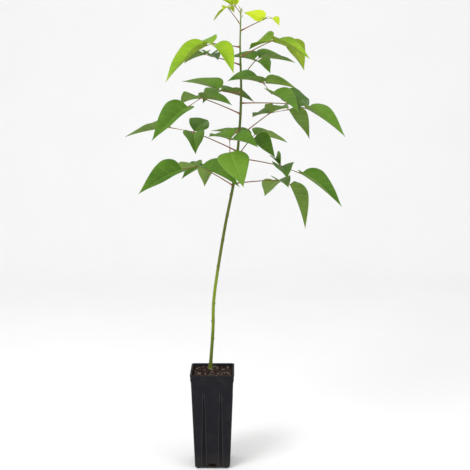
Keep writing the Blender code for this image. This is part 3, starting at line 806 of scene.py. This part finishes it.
for leaf in LEAVES[-BUDDING_LEAVES:]:
    for offset in (-BUD_SPREAD, BUD_SPREAD):
        add_scale(leaf.height + 0.001, leaf.azimuth + offset, BUD_LENGTH)
for scale in TIP_SCALES:
    add_scale(*scale)
BUD = crumb_finish("pale_bud", (0.300, 0.360, 0.110), (0.520, 0.540, 0.240), 0.55)
buds = new_piece("bud_scales", bud_points, bud_faces, [BUD])
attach(buds, "root")
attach(stem, "root")
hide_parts("stem")
print("bud scales:", 2 * BUDDING_LEAVES + len(TIP_SCALES))

# %% [markdown]
# ## The pot
# A pot like this is moulded from thin plastic: it tapers so that it leaves its mould, a
# collar stiffens the top, and two shallow flutes with fine ridges beside them run up each
# side. It is made as a stack of rings. Each ring is the same outline with another width,
# so the walls stay true. Cutting boxes then open the drain slots low in the sides.

# %% The outline of one ring
def turned(x, y, turn):
    return x * math.cos(turn) - y * math.sin(turn), x * math.sin(turn) + y * math.cos(turn)


def pot_ring(half, radius, depth=0.0, span=0.001, ridge=0.0):
    """A square with round corners; each side has two flutes, each between two ridges."""
    edge = 0.5 * span
    profile = (
        (-edge - RIDGE_WIDTH, 0.0), (-edge - 0.5 * RIDGE_WIDTH, -ridge), (-edge, 0.0),
        (-0.5 * edge, depth), (0.0, depth), (0.5 * edge, depth),
        (edge, 0.0), (edge + 0.5 * RIDGE_WIDTH, -ridge), (edge + RIDGE_WIDTH, 0.0),
    )
    # Marks for painted light: the first is 1 in a flute's hollow for painted shade, the second 1 on a ridge
    # for a painted highlight
    marks = [(float(y > 0.0), float(y < 0.0), 0.0) for _, y in profile] * 2
    marks += [(0.0, 0.0, 0.0)] * (CORNER_STEPS + 1)
    side = [(middle + x, -half + y) for middle in (-FLUTE_OFFSET, FLUTE_OFFSET) for x, y in profile]
    for step in range(CORNER_STEPS + 1):
        turn = math.radians(-90.0 + 90.0 * step / CORNER_STEPS)
        side.append((half - radius + radius * math.cos(turn), -half + radius + radius * math.sin(turn)))
    ring = [turned(x, y, math.radians(90.0 * quarter)) for quarter in range(4) for x, y in side]
    return ring, marks * 4


def body_half_width(height):
    share = (height - FOOT_HEIGHT) / (POT_HEIGHT - COLLAR_DEPTH - FOOT_HEIGHT)
    return 0.5 * (BASE_WIDTH + (SHOULDER_WIDTH - BASE_WIDTH) * min(share, 1.0))


def inner_half_width(height):
    floor = FOOT_HEIGHT + FLOOR_THICKNESS
    at_floor, at_rim = body_half_width(floor) - WALL, 0.5 * SHOULDER_WIDTH - WALL
    return at_floor + (at_rim - at_floor) * (height - floor) / (POT_HEIGHT - floor)


print("pot wall at the floor:", round(1000 * body_half_width(FOOT_HEIGHT), 1), "mm from the middle")

# %% Stack the rings, cut the slots and add the feet
def combine(target, tools, operation):
    for tool in tools:
        step = target.modifiers.new(operation, "BOOLEAN")
        step.operation, step.solver, step.object = operation, "EXACT", tool
    graph = bpy.context.evaluated_depsgraph_get()
    result = bpy.data.meshes.new_from_object(target.evaluated_get(graph))
    target.modifiers.clear()
    target.data = result
    for tool in tools:
        bpy.data.objects.remove(tool, do_unlink=True)


def wall_rings():
    """Height, ring and marks of each level, up the outside and down the inside."""
    shoulder, lip = POT_HEIGHT - COLLAR_DEPTH, POT_HEIGHT - RIM_DEPTH
    foot = body_half_width(FOOT_HEIGHT) - FOOT_BEVEL
    rings = [(FOOT_HEIGHT, pot_ring(foot, CORNER_RADIUS, FLUTE_DEPTH, FLUTE_WIDTH_BASE))]
    for k in range(FLUTE_RINGS + 1):
        low = FOOT_HEIGHT + FOOT_BEVEL_HEIGHT
        height = low + (FLUTE_FULL - low) * k / FLUTE_RINGS
        span = FLUTE_WIDTH_BASE + (FLUTE_WIDTH_TOP - FLUTE_WIDTH_BASE) * height / FLUTE_FULL
        half = body_half_width(height)
        rings.append((height, pot_ring(half, CORNER_RADIUS, FLUTE_DEPTH, span, RIDGE_HEIGHT)))
    for k in range(1, FLUTE_END_RINGS + 1):
        share = k / FLUTE_END_RINGS
        height = FLUTE_FULL + (FLUTE_TOP - FLUTE_FULL) * share
        span = max(NARROWEST_FLUTE, FLUTE_WIDTH_TOP * math.sqrt(1.0 - share**2))
        depth, ridge = FLUTE_DEPTH * (1.0 - share), RIDGE_HEIGHT * (1.0 - share)
        rings.append((height, pot_ring(body_half_width(height), CORNER_RADIUS, depth, span, ridge)))
    for height, width in (
        (shoulder - BEVEL, SHOULDER_WIDTH),
        (shoulder, SHOULDER_WIDTH + BEVEL),
        (shoulder + BEVEL, COLLAR_WIDTH - 2 * BEVEL),
        (shoulder + 3 * BEVEL, COLLAR_WIDTH),
        (lip - BEVEL, COLLAR_WIDTH),
        (lip, COLLAR_WIDTH + 2 * BEVEL),
        (lip + BEVEL, RIM_WIDTH - BEVEL),
        (lip + 3 * BEVEL, RIM_WIDTH),
        (POT_HEIGHT - 2 * BEVEL, RIM_WIDTH),
        (POT_HEIGHT, RIM_WIDTH - 4 * BEVEL),
    ):
        rings.append((height, pot_ring(0.5 * width, CORNER_RADIUS)))
    for height in (POT_HEIGHT, POT_HEIGHT - 2 * BEVEL, FOOT_HEIGHT + FLOOR_THICKNESS):
        back = BEVEL if height == POT_HEIGHT else 0.0
        rings.append((height, pot_ring(inner_half_width(height) + back, CORNER_RADIUS - WALL)))
    return rings


def cutting_box(low, high):
    corners = [(x, y, z) for z in (low[2], high[2])
               for x, y in ((low[0], low[1]), (high[0], low[1]), (high[0], high[1]), (low[0], high[1]))]
    sides = [(0, 3, 2, 1), (4, 5, 6, 7), (0, 1, 5, 4), (1, 2, 6, 5), (2, 3, 7, 6), (3, 0, 4, 7)]
    return new_piece("slot", corners, sides, [POT])


def build_pot():
    rings = wall_rings()
    points = [(x, y, height) for height, (ring, _) in rings for x, y in ring]
    # Each point's marks for the painted shade in the flutes and the painted highlight on the ridges
    relief = [mark for _, (_, marks) in rings for mark in marks]
    faces = ring_faces(len(rings), len(rings[0][1][0]))
    pot = new_piece("moulded_pot", points, faces, [POT], facts={"relief": relief})
    slots, half = [], 0.5 * BASE_WIDTH
    for x, y in ((0, -1), (1, 0), (0, 1), (-1, 0)):
        reach_x = 0.5 * DRAIN_WIDTH if x == 0 else 2 * WALL
        reach_y = 0.5 * DRAIN_WIDTH if y == 0 else 2 * WALL
        low = (x * half - reach_x, y * half - reach_y, FOOT_HEIGHT + FLOOR_THICKNESS)
        slots.append(cutting_box(low, (x * half + reach_x, y * half + reach_y, DRAIN_TOP)))
    combine(pot, slots, "DIFFERENCE")
    feet, apart = [], (-FOOT_SPACING, FOOT_SPACING)
    places = [(x, y, FOOT_RADIUS) for x in apart for y in apart]
    for x, y, radius in [*places, (0.0, 0.0, MIDDLE_FOOT_RADIUS)]:
        levels = (0.0, FOOT_ROUND, FOOT_HEIGHT + 0.5 * FLOOR_THICKNESS)
        line = [Vector((x, y, height)) for height in levels]
        feet.append(new_piece("foot", *tube(line, [radius - FOOT_ROUND, radius, radius], 32), [POT]))
    combine(pot, feet, "UNION")
    pot.data.set_sharp_from_angle(angle=math.radians(SHARP_ANGLE))
    return pot


pot = build_pot()
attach(pot, "root")
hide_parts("pot")
print("pot faces:", len(pot.data.polygons))

# %% [markdown]
# ## The soil
# Potting mix is lumps of bark, some fibre and a little pale grit. The bed is a closed
# block that fills the pot a little below its rim, with a top raised and dented by noise.
# Two sizes of noise are added, broad lumps and fine grain, because real soil has both.

# %% Build the bed of soil
SOIL_GRID, SCATTER_MARGIN = 90, 4
SOIL_LUMP, SOIL_GRAIN, SOIL_MOUND = 0.0016, 0.0007, 0.028
LUMP_SCALE, GRAIN_SCALE = 110.0, 420.0


def soil_height(x, y):
    foot = stem_centre(SOIL_STEM_HEIGHT)
    near = math.exp(-(((x - foot.x) ** 2 + (y - foot.y) ** 2) / SOIL_MOUND**2))
    height = SOIL_EDGE_HEIGHT + (SOIL_STEM_HEIGHT - SOIL_EDGE_HEIGHT) * near
    lump = noise.noise(Vector((x * LUMP_SCALE, y * LUMP_SCALE, 1.0)))
    grain = noise.noise(Vector((x * GRAIN_SCALE, y * GRAIN_SCALE, 5.0)))
    return height + SOIL_LUMP * lump + SOIL_GRAIN * grain


reach = inner_half_width(SOIL_EDGE_HEIGHT) - SEAT_GAP
bottom = FOOT_HEIGHT + FLOOR_THICKNESS + SEAT_GAP
low_share = (inner_half_width(bottom) - SEAT_GAP) / reach
corner = CORNER_RADIUS - WALL


def rounded(u, v):
    """A place in the square, drawn in a little at the four corners."""
    x, y = reach * u, reach * v
    over_x, over_y = abs(x) - (reach - corner), abs(y) - (reach - corner)
    if over_x > 0.0 and over_y > 0.0:
        pull = max(over_x, over_y) / math.hypot(over_x, over_y)
        x = math.copysign(reach - corner + over_x * pull, x)
        y = math.copysign(reach - corner + over_y * pull, y)
    return x, y


steps = [2.0 * k / SOIL_GRID - 1.0 for k in range(SOIL_GRID + 1)]
top = [rounded(u, v) for v in steps for u in steps]
surface = [(x, y, soil_height(x, y)) for x, y in top]
points, faces = list(surface), grid_faces(SOIL_GRID, SOIL_GRID)
rim, offset = grid_rim(SOIL_GRID, SOIL_GRID), len(surface)
points += [(low_share * points[k][0], low_share * points[k][1], bottom) for k in rim]
for k, (a, b) in enumerate(zip(rim, rim[1:] + rim[:1])):
    faces.append((b, a, offset + k, offset + (k + 1) % len(rim)))
faces.append(tuple(reversed(range(offset, offset + len(rim)))))
soil = new_piece("soil_bed", points, faces, [SOIL])
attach(soil, "root")
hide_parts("soil")
print("soil faces:", len(soil.data.polygons))

# %% [markdown]
# ## Loose bits on the soil
# The loose bits repeat by a rule, so Geometry Nodes scatter them: points spread over the
# top, a chunk on each point, a random turn and size for each. One node tree is used four
# times with other numbers, for bark chips, dark crumbs, fibres and grit. Its named inputs
# make it easy to play with in the modifier panel before the result is made plain mesh.

# %% A node tree that scatters one chunk over the soil's top
def scatter_tree():
    tree = bpy.data.node_groups.new("scatter_on_top", "GeometryNodeTree")
    tree.is_modifier = True
    face = tree.interface
    face.new_socket("Geometry", in_out="INPUT", socket_type="NodeSocketGeometry")
    for name, kind in (("Chunk", "Object"), ("Finish", "Material"), ("Density", "Float"),
                       ("Smallest", "Float"), ("Largest", "Float"), ("Tilt", "Float"), ("Seed", "Int")):
        face.new_socket(name, in_out="INPUT", socket_type=f"NodeSocket{kind}")
    face.new_socket("Geometry", in_out="OUTPUT", socket_type="NodeSocketGeometry")
    nodes, links = tree.nodes, tree.links
    given, out = nodes.new("NodeGroupInput"), nodes.new("NodeGroupOutput")
    spread = nodes.new("GeometryNodeDistributePointsOnFaces")
    chunk = nodes.new("GeometryNodeObjectInfo")
    place = nodes.new("GeometryNodeInstanceOnPoints")
    turn = nodes.new("FunctionNodeRandomValue")
    turn.data_type = "FLOAT_VECTOR"
    low, high = nodes.new("ShaderNodeCombineXYZ"), nodes.new("ShaderNodeCombineXYZ")
    high.inputs["Z"].default_value = 2.0 * math.pi
    size = nodes.new("FunctionNodeRandomValue")
    size.data_type = "FLOAT"
    real = nodes.new("GeometryNodeRealizeInstances")
    paint = nodes.new("GeometryNodeSetMaterial")
    negative = nodes.new("ShaderNodeMath")
    negative.operation = "MULTIPLY"
    negative.inputs[1].default_value = -1.0
    links.new(given.outputs["Geometry"], spread.inputs["Mesh"])
    links.new(given.outputs["Density"], spread.inputs["Density"])
    links.new(given.outputs["Seed"], spread.inputs["Seed"])
    links.new(given.outputs["Chunk"], chunk.inputs["Object"])
    links.new(spread.outputs["Points"], place.inputs["Points"])
    links.new(chunk.outputs["Geometry"], place.inputs["Instance"])
    links.new(given.outputs["Tilt"], negative.inputs[0])
    for axis in ("X", "Y"):
        links.new(negative.outputs[0], low.inputs[axis])
        links.new(given.outputs["Tilt"], high.inputs[axis])
    links.new(low.outputs[0], turn.inputs["Min"])
    links.new(high.outputs[0], turn.inputs["Max"])
    links.new(given.outputs["Seed"], turn.inputs["Seed"])
    size_slots = [slot for slot in size.inputs if slot.type == "VALUE" and slot.enabled]
    for name, slot in zip(("Smallest", "Largest"), size_slots):
        links.new(given.outputs[name], slot)
    links.new(given.outputs["Seed"], size.inputs["Seed"])
    links.new(turn.outputs["Value"], place.inputs["Rotation"])
    links.new([slot for slot in size.outputs if slot.enabled][0], place.inputs["Scale"])
    links.new(place.outputs["Instances"], real.inputs["Geometry"])
    links.new(real.outputs["Geometry"], paint.inputs["Geometry"])
    links.new(given.outputs["Finish"], paint.inputs["Material"])
    links.new(paint.outputs["Geometry"], out.inputs[0])
    return tree


SCATTER = scatter_tree()
print("scatter inputs:", [item.name for item in SCATTER.interface.items_tree if item.in_out == "INPUT"])

# %% Scatter bark chips, fibres and grit
def chunk(name, length, width, height, sides, seed):
    """A rough closed lump of a few faces, lying along X."""
    dice = random.Random(seed)
    points, stations = [], (-0.5, -0.28, 0.1, 0.36, 0.5)
    for station in stations:
        full = math.sqrt(max(0.08, 1.0 - (2.0 * station) ** 2))
        for k in range(sides):
            turn = 2.0 * math.pi * k / sides
            swell = full * dice.uniform(0.75, 1.15)
            across, up = 0.5 * width * swell * math.cos(turn), 0.5 * height * swell * math.sin(turn)
            points.append((station * length, across, up))
    made = new_piece(name, points, ring_faces(len(stations), sides), [SOIL])
    made.data.polygons.foreach_set("use_smooth", [False] * len(made.data.polygons))
    return made


top_skin = bpy.data.meshes.new("soil_top")
top_skin.from_pydata(surface, [], grid_faces(SOIL_GRID, SOIL_GRID, SCATTER_MARGIN))


def scatter(name, model, finish, density, smallest, largest, tilt, seed):
    """The chunk scattered over the soil's top, as one plain mesh."""
    carrier = bpy.data.objects.new(name, top_skin.copy())
    bpy.context.scene.collection.objects.link(carrier)
    step = carrier.modifiers.new("scatter", "NODES")
    step.node_group = SCATTER
    values = {"Chunk": model, "Finish": finish, "Density": density, "Smallest": smallest,
              "Largest": largest, "Tilt": tilt, "Seed": seed}
    for item in SCATTER.interface.items_tree:
        if item.in_out == "INPUT" and item.name in values:
            step[item.identifier] = values[item.name]
    graph = bpy.context.evaluated_depsgraph_get()
    made = bpy.data.meshes.new_from_object(carrier.evaluated_get(graph))
    carrier.modifiers.clear()
    carrier.data = made
    bpy.data.objects.remove(model, do_unlink=True)
    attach(carrier, "root")
    print(name, len(made.polygons), "faces")
    return carrier


MIX = (
    ("bark_chips", chunk("chip", 0.0060, 0.0032, 0.0014, 6, 1), CHIP, 70000.0, 0.35, 1.10, 0.45, 11),
    ("dark_crumbs", chunk("crumb", 0.0022, 0.0020, 0.0016, 6, 2), SOIL, 260000.0, 0.35, 1.00, 3.00, 12),
    ("fibres", chunk("fibre", 0.0110, 0.0004, 0.0004, 4, 3), FIBRE, 14000.0, 0.30, 0.80, 0.25, 13),
    ("grit", chunk("speck", 0.0022, 0.0018, 0.0016, 5, 4), GRIT, 36000.0, 0.40, 1.05, 3.00, 14),
)
crumbs = [scatter(*row) for row in MIX]
print("faces in all loose bits:", sum(len(crumb.data.polygons) for crumb in crumbs))

# %% [markdown]
# ## Floor, light and camera
# The object is shown as in a catalogue: a pale floor that runs up into a pale wall, with
# soft light from all round, a lamp at the upper left and a weaker one at the right. The
# camera stands as far off as the picture's perspective asks for, a little above the
# middle of the crown and looking slightly down.

# %% Build the stage, the lights and the camera
def floor_finish():
    finish = Finish("pale_floor")
    cloud = finish.noise(3.0, 3.0)
    tone = finish.mix(cloud, (0.860, 0.860, 0.860), (0.900, 0.900, 0.900))
    return finish.paint(tone, 0.75 + cloud * 0.1)


STAGE_HALF, STAGE_FRONT, STAGE_BACK, STAGE_CURVE, STAGE_TOP = 6.0, -4.0, 3.0, 1.2, 4.0
FLOOR_DROP, WORLD_STRENGTH = 0.0002, 0.92
profile = [(STAGE_FRONT, 0.0), (STAGE_BACK - STAGE_CURVE, 0.0)]
for degrees in range(6, 91, 6):
    turn = math.radians(degrees)
    profile.append((STAGE_BACK - STAGE_CURVE * (1 - math.sin(turn)), STAGE_CURVE * (1 - math.cos(turn))))
profile.append((STAGE_BACK, STAGE_TOP))
shell = [(x, y, z - FLOOR_DROP) for y, z in profile for x in (-STAGE_HALF, STAGE_HALF)]
strips = [(2 * i, 2 * i + 1, 2 * i + 3, 2 * i + 2) for i in range(len(profile) - 1)]
floor = new_piece("pale_floor", shell, strips, [floor_finish()])
floor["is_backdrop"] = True

world = bpy.data.worlds.new("soft_white")
bpy.context.scene.world = world
world.use_nodes = True
sky = world.node_tree.nodes["Background"]
sky.inputs["Color"].default_value = (1.0, 1.0, 1.0, 1.0)
sky.inputs["Strength"].default_value = WORLD_STRENGTH


def lamp(name, place, aim, size, power):
    light = bpy.data.lights.new(name, "AREA")
    light.shape, light.size, light.energy = "SQUARE", size, power
    made = bpy.data.objects.new(name, light)
    made.location = place
    made.rotation_euler = (Vector(aim) - Vector(place)).to_track_quat("-Z", "Y").to_euler()
    bpy.context.scene.collection.objects.link(made)
    return made


CROWN_MIDDLE = (0.03, 0.0, 0.60)
lamp("key", (-1.1, -1.2, 1.9), CROWN_MIDDLE, 0.9, 26.0)
lamp("fill", (1.6, -1.0, 1.0), CROWN_MIDDLE, 1.4, 9.0)

CAMERA_PLACE, CAMERA_TILT_DOWN = (0.04646, -1.65707, 0.71793), 8.157
FOCAL_LENGTH_MM, SENSOR_MM = 63.57, 36.0
lens = bpy.data.cameras.new("camera")
lens.lens, lens.sensor_width = FOCAL_LENGTH_MM, SENSOR_MM
camera = bpy.data.objects.new("camera", lens)
camera.location = CAMERA_PLACE
camera.rotation_euler = (math.radians(90.0 - CAMERA_TILT_DOWN), 0.0, 0.0)
bpy.context.scene.collection.objects.link(camera)
bpy.context.scene.camera = camera
bpy.context.scene.view_settings.view_transform = "Standard"
bpy.context.scene.view_settings.look = "None"
print("camera is", round(Vector(CAMERA_PLACE).length, 2), "m from the pot's foot")

# %% [markdown]
# ## Last checks
# The looks must stay within the solids' box, or the plant would be a different size from
# the one that is weighed and dropped. So both boxes are written down side by side.

# %% Write both boxes and finish
final_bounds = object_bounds()
for label, (low_corner, high_corner) in (("solids", loaded_bounds), ("looks", final_bounds)):
    print(label, [round(v, 4) for v in low_corner], [round(v, 4) for v in high_corner])
